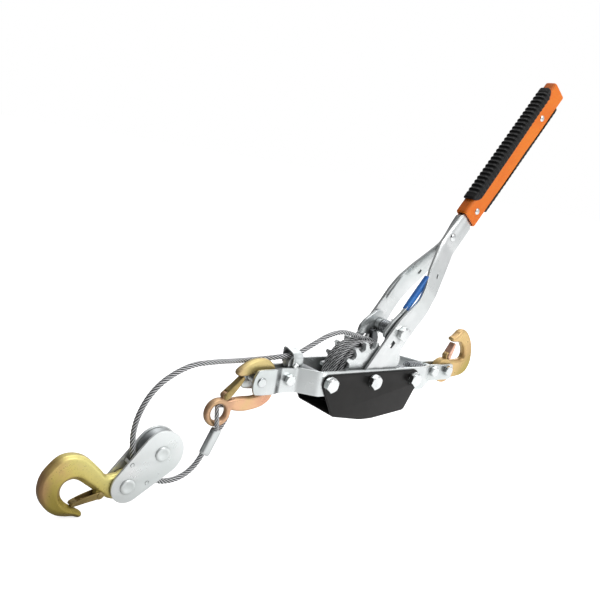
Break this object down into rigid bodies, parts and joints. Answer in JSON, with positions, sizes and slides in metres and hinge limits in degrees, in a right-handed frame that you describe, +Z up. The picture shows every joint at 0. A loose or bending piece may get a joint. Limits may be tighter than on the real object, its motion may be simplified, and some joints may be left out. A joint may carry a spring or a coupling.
{
  "type": "come along winch",
  "caption": "Hand-operated ratchet cable puller: long lever handle, cable drum between two straps, rope run over a pulley block, and safety-latch hooks at both ends.",
  "frame": {"origin": "centre of the gear guard's flat bottom face; the drum axle is 52 mm above it", "axes": "+X from the rope end towards the rear hook, along the frame; +Y along the drum axle, away from the bolt heads; +Z up, normal to the guard's bottom"},
  "size_m": [0.7147, 0.087, 0.5699],
  "materials": {
    "bright_zinc": "bright zinc-plated steel, satin",
    "gold_zinc": "yellow zinc-chromate plating with faint pink and olive iridescence",
    "black_paint": "semi-gloss black paint",
    "wire_rope": "galvanised wire rope strands",
    "orange_plastic": "satin moulded orange plastic",
    "black_rubber": "ribbed black rubber",
    "blue_vinyl": "dipped blue vinyl",
    "spring_steel": "zinc-plated spring wire"
  },
  "bodies": {
    "frame": {"near_frame_strap": "bright_zinc", "far_frame_strap": "bright_zinc", "gear_guard": "black_paint", "front_through_bolt": "bright_zinc", "front_bolt_nut": "bright_zinc", "drum_axle_bolt": "bright_zinc", "drum_axle_nut": "bright_zinc", "rear_pawl_bolt": "bright_zinc", "rear_bolt_nut": "bright_zinc", "front_spacer_sleeve": "bright_zinc", "cable_guide_hoop": "bright_zinc", "guide_roller_pin": "bright_zinc", "guide_bolt": "bright_zinc", "front_hook_pin": "bright_zinc", "inner_tail_bolt": "bright_zinc", "inner_tail_nut": "bright_zinc", "hook_tail_bolt": "bright_zinc", "hook_tail_nut": "bright_zinc", "tail_spacer_sleeve": "bright_zinc", "holding_pawl_spring": "spring_steel", "cable_lead": "wire_rope"},
    "drum": {"near_ratchet_wheel": "bright_zinc", "far_ratchet_wheel": "bright_zinc", "drum_core": "bright_zinc", "wound_cable": "wire_rope"},
    "handle": {"near_handle_arm": "bright_zinc", "far_handle_arm": "bright_zinc", "arm_rivet": "bright_zinc", "grip_shell": "orange_plastic", "grip_rubber_top": "black_rubber", "grip_rubber_bottom": "black_rubber", "lower_grip_rivet": "bright_zinc", "upper_grip_rivet": "bright_zinc", "pawl_pivot_bolt": "bright_zinc", "pawl_pivot_nut": "bright_zinc", "drive_pawl_spring": "spring_steel"},
    "drive_pawl": {"drive_pawl": "bright_zinc", "pawl_lever_grip": "blue_vinyl"},
    "holding_pawl": {"holding_pawl": "bright_zinc"},
    "guide_roller": {"guide_roller": "bright_zinc"},
    "rigging": {"cable_end_hook": "gold_zinc", "cable_latch_rivet": "gold_zinc", "cable_span": "wire_rope", "cable_ferrule": "bright_zinc", "near_block_plate": "bright_zinc", "far_block_plate": "bright_zinc", "upper_keeper_pin": "bright_zinc", "lower_keeper_pin": "bright_zinc", "sheave_pin": "bright_zinc", "block_hook_pin": "bright_zinc"},
    "cable_hook_latch": {"cable_hook_latch": "gold_zinc"},
    "sheave": {"sheave": "bright_zinc"},
    "block_hook": {"block_hook": "gold_zinc", "block_latch_rivet": "gold_zinc"},
    "block_hook_latch": {"block_hook_latch": "gold_zinc"},
    "rear_hook": {"rear_hook": "gold_zinc", "rear_latch_rivet": "gold_zinc"},
    "rear_hook_latch": {"rear_hook_latch": "gold_zinc"}
  },
  "joints": [
    {"name": "handle_swing", "type": "hinge", "parent": "frame", "child": "handle", "pos_m": [0, 0, 0.052], "axis": [0, -1, 0], "range_deg": [-22.5, 45]},
    {"name": "drum_spin", "type": "hinge", "parent": "frame", "child": "drum", "pos_m": [0, 0, 0.052], "axis": [0, -1, 0], "continuous": true},
    {"name": "drive_pawl_rock", "type": "hinge", "parent": "handle", "child": "drive_pawl", "pos_m": [0.04335, 0, 0.11285], "axis": [0, -1, 0], "range_deg": [-15, 12]},
    {"name": "holding_pawl_rock", "type": "hinge", "parent": "frame", "child": "holding_pawl", "pos_m": [0.0748, 0, 0.052], "axis": [0, 1, 0], "range_deg": [-12, 8]},
    {"name": "guide_roller_spin", "type": "hinge", "parent": "frame", "child": "guide_roller", "pos_m": [-0.1126, 0, 0.069], "axis": [0, -1, 0], "continuous": true},
    {"name": "front_hook_swing", "type": "hinge", "parent": "frame", "child": "rigging", "pos_m": [-0.162, 0, 0.051], "axis": [0, -1, 0], "range_deg": [-12, 12]},
    {"name": "cable_latch_open", "type": "hinge", "parent": "rigging", "child": "cable_hook_latch", "pos_m": [-0.2005, 0, 0.0327], "axis": [0, 1, 0], "range_deg": [0, 32]},
    {"name": "sheave_spin", "type": "hinge", "parent": "rigging", "child": "sheave", "pos_m": [-0.277, 0, -0.0264], "axis": [0, -1, 0], "continuous": true},
    {"name": "block_hook_swing", "type": "hinge", "parent": "rigging", "child": "block_hook", "pos_m": [-0.314, 0, -0.0595], "axis": [0, -1, 0], "range_deg": [-35, 35]},
    {"name": "block_latch_open", "type": "hinge", "parent": "block_hook", "child": "block_hook_latch", "pos_m": [-0.342, 0, -0.067], "axis": [0, 1, 0], "range_deg": [0, 30]},
    {"name": "rear_hook_swing", "type": "hinge", "parent": "frame", "child": "rear_hook", "pos_m": [0.1726, 0, 0.052], "axis": [0, -1, 0], "range_deg": [-80, 45]},
    {"name": "rear_latch_open", "type": "hinge", "parent": "rear_hook", "child": "rear_hook_latch", "pos_m": [0.179, 0, 0.0705], "axis": [0, 1, 0], "range_deg": [0, 30]}
  ]
}
